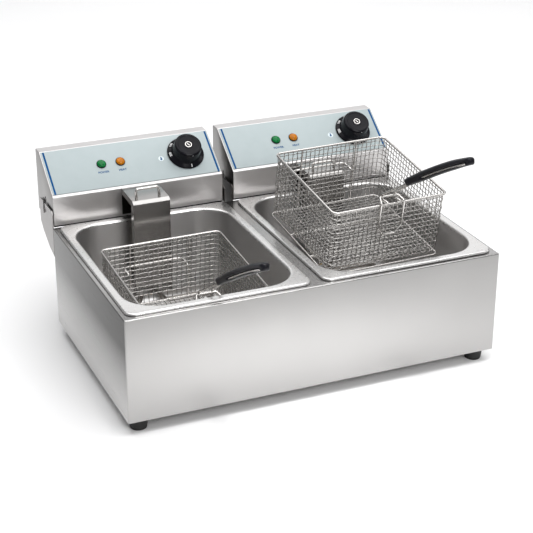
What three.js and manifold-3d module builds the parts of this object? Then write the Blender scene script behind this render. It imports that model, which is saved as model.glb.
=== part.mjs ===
// A countertop electric deep fryer with two lift-out tanks. Each tank has its own control head, which
// hooks on brackets behind the cabinet and carries the heating element, and its own wire basket.
// Millimetres, +X to the right, +Y to the back, +Z up. Until the last lines, x is measured from the
// middle of the cabinet, y from its front face and z from the surface that it stands on.
import * as THREE from "three";
import { mergeVertices } from "three/addons/utils/BufferGeometryUtils.js";
import Module from "manifold-3d";

const wasm = await Module();
wasm.setup();

// ---------------------------------------------------------------- driving dimensions
const GAP = 0.3; // left between pieces that touch
const SHEET = 1.2; // stainless sheet
const FOOT = { height: 19, top: 13.5, bottom: 12, inset: 20.5, stud: 3 };
const CABINET = { width: 560, depth: 337, height: 152 };
const CABINET_TOP = FOOT.height + CABINET.height;
const TANK = {
  spacing: 282, // between the two tanks' middles
  middleY: 169.2,
  flangeX: 132.5, // half sizes of the flange and of the opening
  flangeY: 162.5,
  flangeCorner: 14,
  openX: 119.5,
  openY: 148.75,
  openCorner: 48,
  rise: 4, // flange above the cabinet's top
  depth: 145,
  wall: 1,
};
const HEAD = {
  spacing: 286, // between the two heads' middles
  width: 268,
  frontY: 339,
  rearY: 425,
  bottomZ: FOOT.height + 150.4,
  foldZ: FOOT.height + 198, // where the front plate turns into the sloped panel
  panelTopY: 406,
  topZ: FOOT.height + 247.4,
};
const PANEL_SLOPE = Math.atan2(HEAD.topZ - HEAD.foldZ, HEAD.panelTopY - HEAD.frontY);
const PANEL_LENGTH = Math.hypot(HEAD.topZ - HEAD.foldZ, HEAD.panelTopY - HEAD.frontY);
const OVERLAY = { margin: 1.4, low: 4.4, thickness: 0.8 };
const LAMP = { up: 46.5, green: -47, amber: -17.2, bezel: 7.5, body: 6 };
const KNOB = { x: 87, up: 44.8, skirt: 28.8, cap: 20.6, height: 26 };
const SPINDLE = { radius: 3, top: 19.5, bottom: -12 };
const THERMOSTAT = { width: 40, length: 34, depth: 24 };
const PIVOT = { y: 382, z: FOOT.height + 164, radius: 3.5, reach: 2, slot: 22 };
const EAR = { thickness: 1.5, rearY: 407, lowZ: FOOT.height + 107, topZ: FOOT.height + 177.5 };
const GUARD = {
  half: 28.5,
  faceY: 283.3,
  bevelZ: FOOT.height + 191.2, // the face turns into the bevel, and the bevel into the top plate
  foldY: 288,
  foldZ: FOOT.height + 195.5,
  rearZ: FOOT.height + 198,
  lowZ: FOOT.height + 45,
  flange: 11,
  backZ: FOOT.height + 157,
  topFlange: 9,
};
const HANGER = { x: -3.3, half: 17.8, y: 291, lean: 2, rise: 15.5, radius: 2.2 };
const ELEMENT = { radius: 4, riserX: 16, riserY: 302, exitZ: FOOT.height + 176, lowZ: 40 };
const BULB = { x: 0, radius: 3, length: 95, capillary: 0.9 };
const LIMIT = { x: -62, width: 30, depth: 24, height: 34, neck: 5, button: 3, travel: 2 };
const GLAND = { x: -108, z: FOOT.height + 182, outer: 8.5, bore: 5, reach: 11 };
const BASKET = {
  width: 184, // between the rim wire's middles
  depth: 186.5,
  deep: 101.8, // from the rim to the wires under the bottom
  corner: 8,
  rimWire: 1.8,
  frameWire: 1.5,
  uprightX: 46,
  braces: [-67, -131],
  hookBack: 31,
  hookDown: 52.9,
};
const BAR = { back: 9.6, up: 8.1, half: 14.5 }; // the handle bracket's bar, from the front of the rim
const HANDLE = { wire: 1.7, wireX: 10, gripX: 5.3, gripLength: 171 };
const BASKETS = {
  left: { x: -145.3, y: 242, z: FOOT.height + 147.2, tilt: 5.4, turn: 1, fold: -2.7 },
  right: { x: 135.3, y: 260, z: FOOT.height + 249.8, tilt: 8.9, turn: 2.6, fold: 0 },
};

// ---------------------------------------------------------------- finishes
function finish(color, roughness, metalness) {
  return { color, roughness, metalness };
}

const STEEL = finish(0xcfcccb, 0.32, 1);
const TANK_STEEL = finish(0xb4b0ae, 0.38, 1);
const WIRE = finish(0xd6d3cf, 0.25, 1);
const ELEMENT_METAL = finish(0x6c6762, 0.4, 1);
const BRASS = finish(0xb9964f, 0.35, 1);
const OVERLAY_FILM = finish(0xccdada, 0.35, 0);
const BLACK_PLASTIC = finish(0x17171b, 0.3, 0);
const RUBBER = finish(0x1a1a1a, 0.8, 0);
const GREEN_LENS = finish(0x0c7a36, 0.2, 0);
const AMBER_LENS = finish(0xd9780f, 0.2, 0);
const RED_PLASTIC = finish(0xb0231c, 0.4, 0);
const CERAMIC = finish(0xe6e1d4, 0.6, 0);

// ---------------------------------------------------------------- solids
const at = (x, y, z) => new THREE.Vector3(x, y, z);

// A closed geometry as a solid that can be joined and cut.
function solid(geometry) {
  const bare = geometry.clone();
  bare.deleteAttribute("normal");
  bare.deleteAttribute("uv");
  const merged = mergeVertices(bare, 1e-4);
  return new wasm.Manifold(
    new wasm.Mesh({
      numProp: 3,
      vertProperties: merged.attributes.position.array,
      triVerts: new Uint32Array(merged.index.array),
    }),
  );
}

function geometryOf(body) {
  const mesh = body.getMesh();
  const geometry = new THREE.BufferGeometry();
  geometry.setAttribute("position", new THREE.BufferAttribute(mesh.vertProperties, 3));
  geometry.setIndex(new THREE.BufferAttribute(mesh.triVerts, 1));
  return geometry;
}

const join = (...bodies) => bodies.reduce((whole, body) => whole.add(body));
const cut = (body, ...tools) => tools.reduce((rest, tool) => rest.subtract(tool), body);

// A box between two opposite corners.
function block(x0, y0, z0, x1, y1, z1) {
  const box = new THREE.BoxGeometry(x1 - x0, y1 - y0, z1 - z0);
  return solid(box.translate((x0 + x1) / 2, (y0 + y1) / 2, (z0 + z1) / 2));
}

// A round bar between two points.
function bar(from, to, radius, sides = 16) {
  const along = to.clone().sub(from);
  const cylinder = new THREE.CylinderGeometry(radius, radius, along.length(), sides);
  const turn = new THREE.Quaternion().setFromUnitVectors(at(0, 1, 0), along.clone().normalize());
  cylinder.applyQuaternion(turn);
  return solid(cylinder.translate(...from.clone().addScaledVector(along, 0.5).toArray()));
}

// A turned piece about +Z, from a profile of [radius, z] that runs from the axis to the axis, upwards
// on the outside.
function turned(profile, sides = 24) {
  const points = profile.map(([radius, z]) => new THREE.Vector2(radius, z));
  return solid(new THREE.LatheGeometry(points, sides).rotateX(Math.PI / 2));
}

// An outline of [y, z] made thick along X.
function slab(outline, x0, x1) {
  const shape = new THREE.Shape(outline.map(([y, z]) => new THREE.Vector2(y, z)));
  const geometry = new THREE.ExtrudeGeometry(shape, { depth: x1 - x0, bevelEnabled: false });
  const axes = new THREE.Matrix4().makeBasis(at(0, 1, 0), at(0, 0, 1), at(1, 0, 0));
  return solid(geometry.applyMatrix4(axes).translate(x0, 0, 0));
}

// A folded sheet: a line of [y, z] made thick to its right, and wide along X.
function foldedSheet(line, thickness, x0, x1) {
  const points = line.map(([y, z]) => new THREE.Vector2(y, z));
  const side = (a, b) => new THREE.Vector2(b.y - a.y, a.x - b.x).normalize();
  const inner = points.map((point, i) => {
    const before = i > 0 ? side(points[i - 1], point) : side(point, points[1]);
    const after = i < points.length - 1 ? side(point, points[i + 1]) : before;
    const mitre = before.clone().add(after);
    return point.clone().addScaledVector(mitre, (2 * thickness) / mitre.lengthSq());
  });
  const outline = [...points, ...inner.reverse()].map((point) => [point.x, point.y]);
  return slab(outline, x0, x1);
}

// A rectangle with round corners, anticlockwise from above.
function ring([halfX, halfY, radius, z], middleY = 0, cornerSteps = 4) {
  const points = [];
  const corners = [[1, 1], [-1, 1], [-1, -1], [1, -1]];
  corners.forEach(([sideX, sideY], quarter) => {
    for (let step = 0; step <= cornerSteps; step++) {
      const angle = ((quarter + step / cornerSteps) * Math.PI) / 2;
      const x = sideX * (halfX - radius) + radius * Math.cos(angle);
      const y = sideY * (halfY - radius) + radius * Math.sin(angle);
      points.push(at(x, middleY + y, z));
    }
  });
  return points;
}

// A skin over a row of rings, closed flat over the first and the last.
function loft(rings) {
  const count = rings[0].length;
  const middle = (points) =>
    points.reduce((sum, point) => sum.add(point), at(0, 0, 0)).divideScalar(count);
  const vertices = [...rings.flat(), middle(rings[0]), middle(rings.at(-1))];
  const start = rings.length * count;
  const last = (rings.length - 1) * count;
  const faces = [];
  for (let k = 0; k < count; k++) {
    const next = (k + 1) % count;
    faces.push(start, next, k, start + 1, last + k, last + next);
    for (let level = 0; level < last; level += count) {
      faces.push(level + k, level + next, level + count + next);
      faces.push(level + k, level + count + next, level + count + k);
    }
  }
  const geometry = new THREE.BufferGeometry().setFromPoints(vertices);
  return solid(geometry.setIndex(faces));
}

// ---------------------------------------------------------------- wires and tubes
// A route through given points, which a tube follows point by point.
class Route extends THREE.Curve {
  constructor(points, closed = false) {
    super();
    this.points = points;
    this.closed = closed;
    this.steps = closed ? points.length : points.length - 1;
  }
  point(index) {
    const count = this.points.length;
    const wrapped = this.closed ? (index + count) % count : Math.min(Math.max(index, 0), count - 1);
    return this.points[wrapped];
  }
  getPointAt(share) {
    return this.point(Math.round(share * this.steps)).clone();
  }
  getTangentAt(share) {
    const index = Math.round(share * this.steps);
    return this.point(index + 1).clone().sub(this.point(index - 1)).normalize();
  }
  getSpacedPoints() {
    return this.points;
  }
}

// The points of a route with its corners rounded, except for ends and slight bends.
const SLIGHT = THREE.MathUtils.degToRad(170);

function rounded(corners, radius, closed = false, steps = 3) {
  const points = [];
  const count = corners.length;
  corners.forEach((corner, i) => {
    const back = corners[(i + count - 1) % count].clone().sub(corner).normalize();
    const onward = corners[(i + 1) % count].clone().sub(corner).normalize();
    const isEnd = !closed && (i === 0 || i === count - 1);
    if (isEnd || back.angleTo(onward) > SLIGHT) {
      points.push(corner);
      return;
    }
    const half = back.angleTo(onward) / 2;
    const inward = back.clone().add(onward).normalize();
    const centre = corner.clone().addScaledVector(inward, radius / Math.sin(half));
    const start = corner.clone().addScaledVector(back, radius / Math.tan(half)).sub(centre);
    const axis = back.clone().cross(onward).normalize().negate();
    for (let step = 0; step <= steps; step++) {
      const turn = ((Math.PI - 2 * half) * step) / steps;
      points.push(start.clone().applyAxisAngle(axis, turn).add(centre));
    }
  });
  return points;
}

function circle(radius, sides) {
  const points = [];
  for (let side = 0; side < sides; side++) {
    const angle = (2 * Math.PI * side) / sides;
    points.push(new THREE.Vector2(radius * Math.cos(angle), radius * Math.sin(angle)));
  }
  return points;
}

// A section drawn along a route, with both ends closed.
function swept(section, points) {
  const route = new Route(points);
  const options = { extrudePath: route, steps: route.steps, bevelEnabled: false };
  return solid(new THREE.ExtrudeGeometry(new THREE.Shape(section), options));
}

const wire = (points, radius, sides = 6) => swept(circle(radius, sides), points);

// A wire whose two ends meet.
function wireLoop(points, radius, sides = 6) {
  const route = new Route(points, true);
  return solid(new THREE.TubeGeometry(route, route.steps, radius, sides, true));
}

// ---------------------------------------------------------------- named pieces
const fryer = new THREE.Group();

function place(parent, name, body, look) {
  const mesh = new THREE.Mesh(geometryOf(body), new THREE.MeshStandardMaterial(look));
  mesh.name = name;
  parent.add(mesh);
}

const SIDES = [["left", -1], ["right", 1]];
const tankX = (side) => (side * TANK.spacing) / 2;
const headX = (side) => (side * HEAD.spacing) / 2;
const footSpots = [-1, 1].flatMap((sideX) =>
  [FOOT.inset, CABINET.depth - FOOT.inset].map((y) => [
    sideX * (CABINET.width / 2 - FOOT.inset),
    y,
  ]),
);

// ---------------------------------------------------------------- cabinet
function cabinetShell() {
  const half = CABINET.width / 2;
  const outside = block(-half, 0, FOOT.height, half, CABINET.depth, CABINET_TOP);
  const inside = block(
    -half + SHEET, SHEET, FOOT.height - 1, half - SHEET, CABINET.depth - SHEET, CABINET_TOP - SHEET,
  );
  const openings = SIDES.map(([, side]) => {
    const clear = TANK.wall + 2;
    const size = [TANK.openX + clear, TANK.openY + clear, TANK.openCorner + clear];
    const hole = [CABINET_TOP - 2 * SHEET, CABINET_TOP + SHEET].map((z) =>
      ring([...size, z], TANK.middleY),
    );
    return loft(hole).translate([tankX(side), 0, 0]);
  });
  return cut(outside, inside, ...openings);
}

function basePlate() {
  const half = CABINET.width / 2 - SHEET - GAP;
  const rear = CABINET.depth - SHEET - GAP;
  const low = FOOT.height + GAP;
  const plate = block(-half, SHEET + GAP, low, half, rear, low + SHEET);
  const holes = footSpots.map(([x, y]) =>
    bar(at(x, y, FOOT.height - 2), at(x, y, FOOT.height + 4), FOOT.stud + GAP, 10),
  );
  return cut(plate, ...holes);
}

function foot([x, y]) {
  const profile = [
    [0, 0], [FOOT.bottom, 0], [FOOT.top, FOOT.height - 4], [FOOT.top, FOOT.height],
    [FOOT.stud, FOOT.height], [FOOT.stud, FOOT.height + 7], [0, FOOT.height + 7],
  ];
  return turned(profile, 12).translate([x, y, 0]);
}

// One upright ear with an open slot for a head's pivot rod.
function ear(x0) {
  const front = CABINET.depth + GAP;
  const outline = [
    [front, EAR.lowZ - 1], [front + 24, EAR.lowZ + 5], [EAR.rearY - 16, EAR.lowZ + 20],
    [EAR.rearY - 1, EAR.lowZ + 32], [EAR.rearY, EAR.lowZ + 46], [EAR.rearY, EAR.topZ - 5],
    [EAR.rearY - 5, EAR.topZ], [front + 4, EAR.topZ], [front, EAR.topZ - 4],
  ];
  const slotHalf = PIVOT.radius + 0.6;
  const slot = block(
    x0 - 1, PIVOT.y - slotHalf, PIVOT.z, x0 + EAR.thickness + 1, PIVOT.y + slotHalf, EAR.topZ + 1,
  );
  const seat = bar(at(x0 - 1, PIVOT.y, PIVOT.z), at(x0 + EAR.thickness + 1, PIVOT.y, PIVOT.z), slotHalf);
  return cut(slab(outline, x0, x0 + EAR.thickness), slot, seat);
}

// The strip of a bracket that is fixed to the cabinet's rear wall.
function earRoot(x0, x1) {
  const front = CABINET.depth + GAP;
  return block(x0, front, EAR.lowZ, x1, front + EAR.thickness, CABINET_TOP - 4);
}

function addCabinet() {
  place(fryer, "cabinet_shell", cabinetShell(), STEEL);
  place(fryer, "base_plate", basePlate(), STEEL);
  const names = ["front_left", "rear_left", "front_right", "rear_right"];
  footSpots.forEach((spot, i) => place(fryer, `foot_${names[i]}`, foot(spot), RUBBER));
  const half = CABINET.width / 2;
  const rootWidth = 24;
  const leftBracket = join(ear(-half), earRoot(-half, -half + rootWidth));
  const rightBracket = join(ear(half - EAR.thickness), earRoot(half - rootWidth, half));
  const inner = 6;
  const centreBracket = join(
    ear(-inner - EAR.thickness), ear(inner), earRoot(-inner - EAR.thickness, inner + EAR.thickness),
  );
  place(fryer, "ear_bracket_left", leftBracket, STEEL);
  place(fryer, "ear_bracket_right", rightBracket, STEEL);
  place(fryer, "ear_bracket_centre", centreBracket, STEEL);
}

// ---------------------------------------------------------------- tank
// The skin of the pan, up the outside, over the flange with its turned-down edge, and down the inside.
// Each step of the wall is [shrink from the opening, height over the cabinet], and each step of the
// edge is [shrink from the flange, height over the cabinet].
function tank() {
  const { openX, openY, openCorner, flangeX, flangeY, flangeCorner, wall, rise, middleY } = TANK;
  const floor = rise - TANK.depth;
  const outside = [
    [22, floor - wall], [13.6, floor], [6.2, floor + 5.4], [3, floor + 15.8], [-wall, rise - 4.4],
    [-2, rise - 2], [-4, rise - wall],
  ];
  const edge = [
    [2, rise - wall], [wall, rise - 1.8], [wall, 2 * GAP], [0, 2 * GAP], [0, rise - 1.5], [2, rise],
  ];
  const inside = [
    [-4, rise], [-1.2, rise - 1.2], [0, rise - 4], [4, floor + 16], [7, floor + 6], [14, floor + 1],
    [22, floor],
  ];
  const wallRing = ([shrink, z]) =>
    ring([openX - shrink, openY - shrink, openCorner - shrink, CABINET_TOP + z], middleY);
  const edgeRing = ([shrink, z]) =>
    ring([flangeX - shrink, flangeY - shrink, flangeCorner - shrink, CABINET_TOP + z], middleY);
  return loft([...outside.map(wallRing), ...edge.map(edgeRing), ...inside.map(wallRing)]);
}

// ---------------------------------------------------------------- control head
// The head's side outline, drawn in by a sheet's thickness for the hollow inside.
function headOutline(inset, rearY) {
  const slope = Math.tan(PANEL_SLOPE);
  const drop = inset / Math.cos(PANEL_SLOPE);
  const front = HEAD.frontY + inset;
  const top = HEAD.topZ - inset;
  return [
    [front, HEAD.bottomZ + inset],
    [rearY, HEAD.bottomZ + inset],
    [rearY, top],
    [HEAD.frontY + (top + drop - HEAD.foldZ) / slope, top],
    [front, HEAD.foldZ + inset * slope - drop],
  ];
}

// Moves a piece drawn on the panel's plane (x, up the slope, out of the panel) to its place.
function onPanel(body, x = 0, up = 0) {
  const degrees = (PANEL_SLOPE * 180) / Math.PI;
  return body.translate([x, up, 0]).rotate([degrees, 0, 0]).translate([0, HEAD.frontY, HEAD.foldZ]);
}

const panelHole = (x, up, radius) =>
  onPanel(bar(at(0, 0, -4), at(0, 0, 4), radius), x, up);

function panelHoles(radius) {
  return [
    panelHole(LAMP.green, LAMP.up, LAMP.body + GAP),
    panelHole(LAMP.amber, LAMP.up, LAMP.body + GAP),
    panelHole(KNOB.x, KNOB.up, radius),
  ];
}

function housing() {
  const half = HEAD.width / 2;
  const shell = slab(headOutline(0, HEAD.rearY), -half, half);
  const hollow = slab(headOutline(SHEET, HEAD.rearY + 1), -half + SHEET, half - SHEET);
  const rodHole = bar(at(-half - 1, PIVOT.y, PIVOT.z), at(half + 1, PIVOT.y, PIVOT.z), PIVOT.radius + GAP);
  const slot = block(-half - 1, PIVOT.y - 2, PIVOT.z, half + 1, PIVOT.y + 2, PIVOT.z + PIVOT.slot);
  const exits = [-ELEMENT.riserX, ELEMENT.riserX].map((x) => throughPlate(x, ELEMENT.radius + 1));
  const capillaryExits = [BULB.x, LIMIT_BULB_X].map((x) => throughPlate(x, 2));
  return cut(shell, hollow, rodHole, slot, ...exits, ...capillaryExits, ...panelHoles(SPINDLE.radius + 1));
}

const throughPlate = (x, radius) =>
  bar(at(x, HEAD.frontY - 2, ELEMENT.exitZ), at(x, HEAD.frontY + 4, ELEMENT.exitZ), radius, 12);

function rearCover() {
  const half = HEAD.width / 2 - SHEET - GAP;
  const rear = HEAD.rearY - 0.5;
  const plate = block(
    -half, rear - SHEET, HEAD.bottomZ + SHEET + GAP, half, rear, HEAD.topZ - SHEET - GAP,
  );
  const glandHole = bar(at(GLAND.x, rear - 4, GLAND.z), at(GLAND.x, rear + 2, GLAND.z), GLAND.bore + 2 + GAP);
  const limitZ = LIMIT_Z;
  const limitHole = bar(at(LIMIT.x, rear - 4, limitZ), at(LIMIT.x, rear + 2, limitZ), LIMIT.neck + GAP);
  return cut(plate, glandHole, limitHole);
}

function overlay() {
  const half = HEAD.width / 2 - OVERLAY.margin;
  const high = PANEL_LENGTH - OVERLAY.margin;
  const film = onPanel(block(-half, OVERLAY.low, GAP, half, high, GAP + OVERLAY.thickness));
  return cut(film, ...panelHoles(SPINDLE.radius + 1));
}

function lamp(x) {
  const { body, bezel } = LAMP;
  const under = GAP + OVERLAY.thickness + GAP;
  const profile = [
    [0, -20], [body - 1, -20], [body, -19], [body, under], [bezel, under], [bezel, under + 1.4],
    [bezel - 1.2, under + 2.2], [body - 0.4, under + 3], [body - 3, under + 4.6], [0, under + 5],
  ];
  return onPanel(turned(profile, 18), x, LAMP.up);
}

function knob() {
  const bore = SPINDLE.radius + GAP;
  const { skirt, cap, height } = KNOB;
  const profile = [
    [0, height - 6], [bore, height - 6], [bore, 3], [8, 3], [8, 4.6], [skirt - 3, 3.6],
    [skirt - 2, 2], [skirt, 2], [skirt - 0.6, 4.2], [cap + 1.6, 7.6], [cap + 0.4, height - 3],
    [cap - 0.6, height - 1], [cap - 2.6, height], [0, height],
  ];
  return onPanel(turned(profile, 28), KNOB.x, KNOB.up);
}

function spindle() {
  const rod = bar(at(0, 0, SPINDLE.bottom), at(0, 0, SPINDLE.top), SPINDLE.radius, 12);
  return onPanel(rod, KNOB.x, KNOB.up);
}

function thermostat() {
  const { width, length, depth } = THERMOSTAT;
  const top = -SHEET - GAP;
  const body = block(-width / 2, -length / 2, top - depth, width / 2, length / 2, top);
  const bore = bar(at(0, 0, SPINDLE.bottom - 1), at(0, 0, top + 1), SPINDLE.radius + GAP);
  return onPanel(cut(body, bore), KNOB.x, KNOB.up);
}

const LIMIT_Z = HEAD.bottomZ + 66;
const LIMIT_BULB_X = -7.5;

// A sensing bulb behind the guard with the thin tube that runs from it up and back into the head.
function sensor(x, inside) {
  const low = ELEMENT.lowZ + 14;
  const top = low + BULB.length;
  const bulb = bar(at(x, ELEMENT.riserY, low), at(x, ELEMENT.riserY, top), BULB.radius, 8);
  const route = [at(x, ELEMENT.riserY, top - 2), at(x, ELEMENT.riserY, ELEMENT.exitZ), ...inside];
  return join(bulb, wire(rounded(route, 8), BULB.capillary));
}

function thermostatBulb() {
  const end = at(BULB.x, HEAD.frontY + 26, ELEMENT.exitZ);
  return sensor(BULB.x, [end]);
}

function limitThermostat() {
  const rear = HEAD.rearY - 0.5 - SHEET - GAP;
  const half = LIMIT.width / 2;
  const body = block(
    LIMIT.x - half, rear - LIMIT.depth, LIMIT_Z - LIMIT.height / 2,
    LIMIT.x + half, rear, LIMIT_Z + LIMIT.height / 2,
  );
  const neckEnd = HEAD.rearY + 2;
  const neck = bar(at(LIMIT.x, rear - 1, LIMIT_Z), at(LIMIT.x, neckEnd, LIMIT_Z), LIMIT.neck);
  const bore = bar(at(LIMIT.x, rear - 8, LIMIT_Z), at(LIMIT.x, neckEnd + 1, LIMIT_Z), LIMIT.button + GAP);
  const turnY = HEAD.frontY + 34;
  const inside = [
    at(LIMIT_BULB_X, turnY, ELEMENT.exitZ), at(LIMIT.x, turnY, ELEMENT.exitZ + 6),
    at(LIMIT.x, rear - LIMIT.depth + 1, LIMIT_Z - 8),
  ];
  return join(cut(join(body, neck), bore), sensor(LIMIT_BULB_X, inside));
}

function resetButton() {
  const out = HEAD.rearY + 2 + LIMIT.travel;
  return bar(at(LIMIT.x, out - 9, LIMIT_Z), at(LIMIT.x, out, LIMIT_Z), LIMIT.button, 12);
}

function terminalBlock() {
  const low = HEAD.bottomZ + SHEET + GAP;
  const rear = HEAD.rearY - 0.5 - SHEET - 3;
  const body = block(-8, rear - 22, low, 52, rear, low + 18);
  const slots = [0, 1, 2, 3].map((n) => {
    const x = -1 + 15 * n;
    return block(x, rear - 23, low + 7, x + 9, rear - 12, low + 19);
  });
  return cut(body, ...slots);
}

function cableGland() {
  const face = HEAD.rearY - 0.5 + GAP;
  const { bore, outer, reach } = GLAND;
  const neck = bore + 2;
  const profile = [
    [bore, -12], [neck, -12], [neck, 0], [outer, 0], [outer, 4], [outer - 1.2, reach],
    [bore, reach], [bore, -12],
  ];
  return turned(profile, 16).rotate([-90, 0, 0]).translate([GLAND.x, face, GLAND.z]);
}

// Two risers come out of the head's front plate behind the guard and feed a loop on the tank's floor.
function element() {
  const { riserX, riserY, exitZ, lowZ } = ELEMENT;
  const outer = 90;
  const inner = 55;
  const front = 46;
  const turnY = 252;
  const half = [
    [riserX, riserY], [outer, riserY], [outer, front], [inner, front], [inner, turnY], [20, turnY],
    [20, front],
  ].map(([x, y]) => at(x, y, lowZ));
  const tail = [at(riserX, HEAD.frontY + 22, exitZ), at(riserX, riserY, exitZ)];
  const rightHalf = [...tail, ...half];
  const leftHalf = rightHalf.map((p) => at(-p.x, p.y, p.z)).reverse();
  return wire(rounded([...rightHalf, ...leftHalf], 13), ELEMENT.radius);
}

// A folded cover over the risers, with a back plate that they pass through, and narrow flanges along the
// sides of its face and of its top.
function elementGuard() {
  const rear = HEAD.frontY - GAP;
  const { faceY, bevelZ, foldY, foldZ, rearZ, backZ, lowZ, half, flange, topFlange } = GUARD;
  const line = [[faceY, lowZ], [faceY, bevelZ], [foldY, foldZ], [rear, rearZ], [rear, backZ]];
  const side = [
    [faceY, lowZ], [faceY + flange, lowZ], [faceY + flange, bevelZ - 4], [rear, rearZ - topFlange],
    [rear, rearZ], [foldY, foldZ], [faceY, bevelZ],
  ];
  const left = slab(side, -half, -half + SHEET);
  const right = slab(side, half - SHEET, half);
  const exits = [-ELEMENT.riserX, ELEMENT.riserX].map((x) => throughPlate(x, ELEMENT.radius + 1));
  const capillaryExits = [BULB.x, LIMIT_BULB_X].map((x) => throughPlate(x, 2));
  return cut(join(foldedSheet(line, SHEET, -half, half), left, right), ...exits, ...capillaryExits);
}

function basketHanger() {
  const { x, half, y, lean, rise, radius } = HANGER;
  const climb = (GUARD.rearZ - GUARD.foldZ) / (HEAD.frontY - GAP - GUARD.foldY);
  const low = GUARD.foldZ + climb * (y + radius - GUARD.foldY) + GAP;
  const corners = [
    at(x - half, y, low), at(x - half, y + lean, low + rise), at(x + half, y + lean, low + rise),
    at(x + half, y, low),
  ];
  return wire(rounded(corners, 4), radius);
}

function pivotRod(side) {
  const inner = HEAD.spacing / 2 - 6 - EAR.thickness + PIVOT.reach;
  const outer = CABINET.width / 2 - HEAD.spacing / 2 + PIVOT.reach;
  const [from, to] = side < 0 ? [-outer, inner] : [-inner, outer];
  return bar(at(from, PIVOT.y, PIVOT.z), at(to, PIVOT.y, PIVOT.z), PIVOT.radius);
}

function addHead(name, side) {
  const head = new THREE.Group();
  head.position.x = headX(side);
  const pieces = [
    ["housing", housing(), STEEL],
    ["rear_cover", rearCover(), STEEL],
    ["panel_overlay", overlay(), OVERLAY_FILM],
    ["lamp_green", lamp(LAMP.green), GREEN_LENS],
    ["lamp_amber", lamp(LAMP.amber), AMBER_LENS],
    ["knob", knob(), BLACK_PLASTIC],
    ["knob_spindle", spindle(), BRASS],
    ["thermostat", thermostat(), CERAMIC],
    ["thermostat_bulb", thermostatBulb(), BRASS],
    ["limit_thermostat", limitThermostat(), BRASS],
    ["reset_button", resetButton(), RED_PLASTIC],
    ["terminal_block", terminalBlock(), CERAMIC],
    ["cable_gland", cableGland(), BLACK_PLASTIC],
    ["heating_element", element(), ELEMENT_METAL],
    ["element_guard", elementGuard(), STEEL],
    ["basket_hanger", basketHanger(), WIRE],
    ["pivot_rod", pivotRod(side), STEEL],
  ];
  pieces.forEach(([piece, body, look]) => place(head, `${piece}_${name}`, body, look));
  fryer.add(head);
}

// ---------------------------------------------------------------- basket
// Drawn from the middle of the rim's rear side, with the rim level.
const basketMiddle = -BASKET.depth / 2;

function basketMesh() {
  const { width, depth, deep, corner, rimWire, frameWire } = BASKET;
  const top = -rimWire - GAP;
  const bottom = -deep + frameWire + GAP;
  const wall = 1.6;
  const bend = 4;
  const level = (shrink, z) =>
    ring([width / 2 - shrink, depth / 2 - shrink, corner - shrink, z], basketMiddle, 3);
  return loft([
    level(bend, bottom), level(0, bottom + bend), level(0, top), level(wall, top),
    level(wall, bottom + bend), level(bend + wall, bottom + wall),
  ]);
}

function basketFrame() {
  const { width, depth, deep, corner, rimWire, frameWire, uprightX, braces } = BASKET;
  const half = width / 2;
  const loop = (z, radius) => wireLoop(ring([half, depth / 2, corner, z], basketMiddle, 3), radius);
  const crosswise = braces.map((y) => bar(at(-half, y, -deep), at(half, y, -deep), frameWire, 6));
  const rear = frameWire + GAP;
  const uprights = [-uprightX, uprightX].map((x) =>
    bar(at(x, rear, 0), at(x, rear, -deep), frameWire, 6),
  );
  return join(loop(0, rimWire), loop(-deep, frameWire), ...crosswise, ...uprights);
}

function basketHook() {
  const { uprightX, hookBack, hookDown, rimWire, frameWire } = BASKET;
  const front = 2 * frameWire + 2 * GAP;
  const corners = [
    at(-uprightX, front, -hookDown), at(-uprightX, hookBack, -hookDown),
    at(uprightX, hookBack, -hookDown), at(uprightX, front, -hookDown),
  ];
  return wire(rounded(corners, 9), rimWire);
}

const barY = -BASKET.depth + BAR.back;

function handleBracket() {
  const front = -BASKET.depth - BASKET.rimWire - BASKET.frameWire - GAP;
  const half = 18.5;
  const right = [
    at(9, front + 1, -48), at(half, front, -34), at(half, front, 4.6), at(BAR.half, barY, BAR.up),
  ];
  const left = right.map((p) => at(-p.x, p.y, p.z)).reverse();
  return wireLoop(rounded([...right, ...left], 3.5, true, 2), BASKET.frameWire);
}

// A point of the grip, which dips a little towards its end: y and z at a distance along its middle
// line and a height over it.
const GRIP_START = { y: -219.2, z: 53.4, climb: 39.5, dip: 2.5 };

function gripPoint(distance, height = 0) {
  const bend = GRIP_START.dip * (distance / HANDLE.gripLength) ** 2;
  const chord = THREE.MathUtils.degToRad(GRIP_START.climb - bend);
  const slope = THREE.MathUtils.degToRad(GRIP_START.climb - 3 * bend);
  const y = GRIP_START.y - distance * Math.cos(chord) + height * Math.sin(slope);
  const z = GRIP_START.z + distance * Math.sin(chord) + height * Math.cos(slope);
  return [y, z];
}

const WIRE_DROP = 2.5; // the wires run this far under the grip's middle line
const END_WEB = 12; // and cross over this far before its end

// From a tip over the rim, round the bracket's bar, up to the grip, along its sides and across its end.
function handleWire() {
  const hook = BASKET.frameWire + HANDLE.wire + 0.4;
  const tip = at(HANDLE.wireX, barY - 15.6, BAR.up - 1.5);
  const hooked = [-102, -70.8, -39.6, -8.4, 22.8, 54].map((turn) => {
    const angle = THREE.MathUtils.degToRad(turn);
    return at(HANDLE.wireX, barY + hook * Math.cos(angle), BAR.up + hook * Math.sin(angle));
  });
  const gripped = [0, 40, 80, 120, HANDLE.gripLength - END_WEB].map((distance) =>
    at(HANDLE.gripX, ...gripPoint(distance, -WIRE_DROP)),
  );
  const right = [tip, ...hooked, ...gripped];
  const left = right.map((p) => at(-p.x, p.y, p.z)).reverse();
  const end = rounded([right.at(-2), right.at(-1), left[0], left[1]], 3).slice(1, -1);
  return wire([...right.slice(0, -1), ...end, ...left.slice(1)], HANDLE.wire);
}

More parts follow.
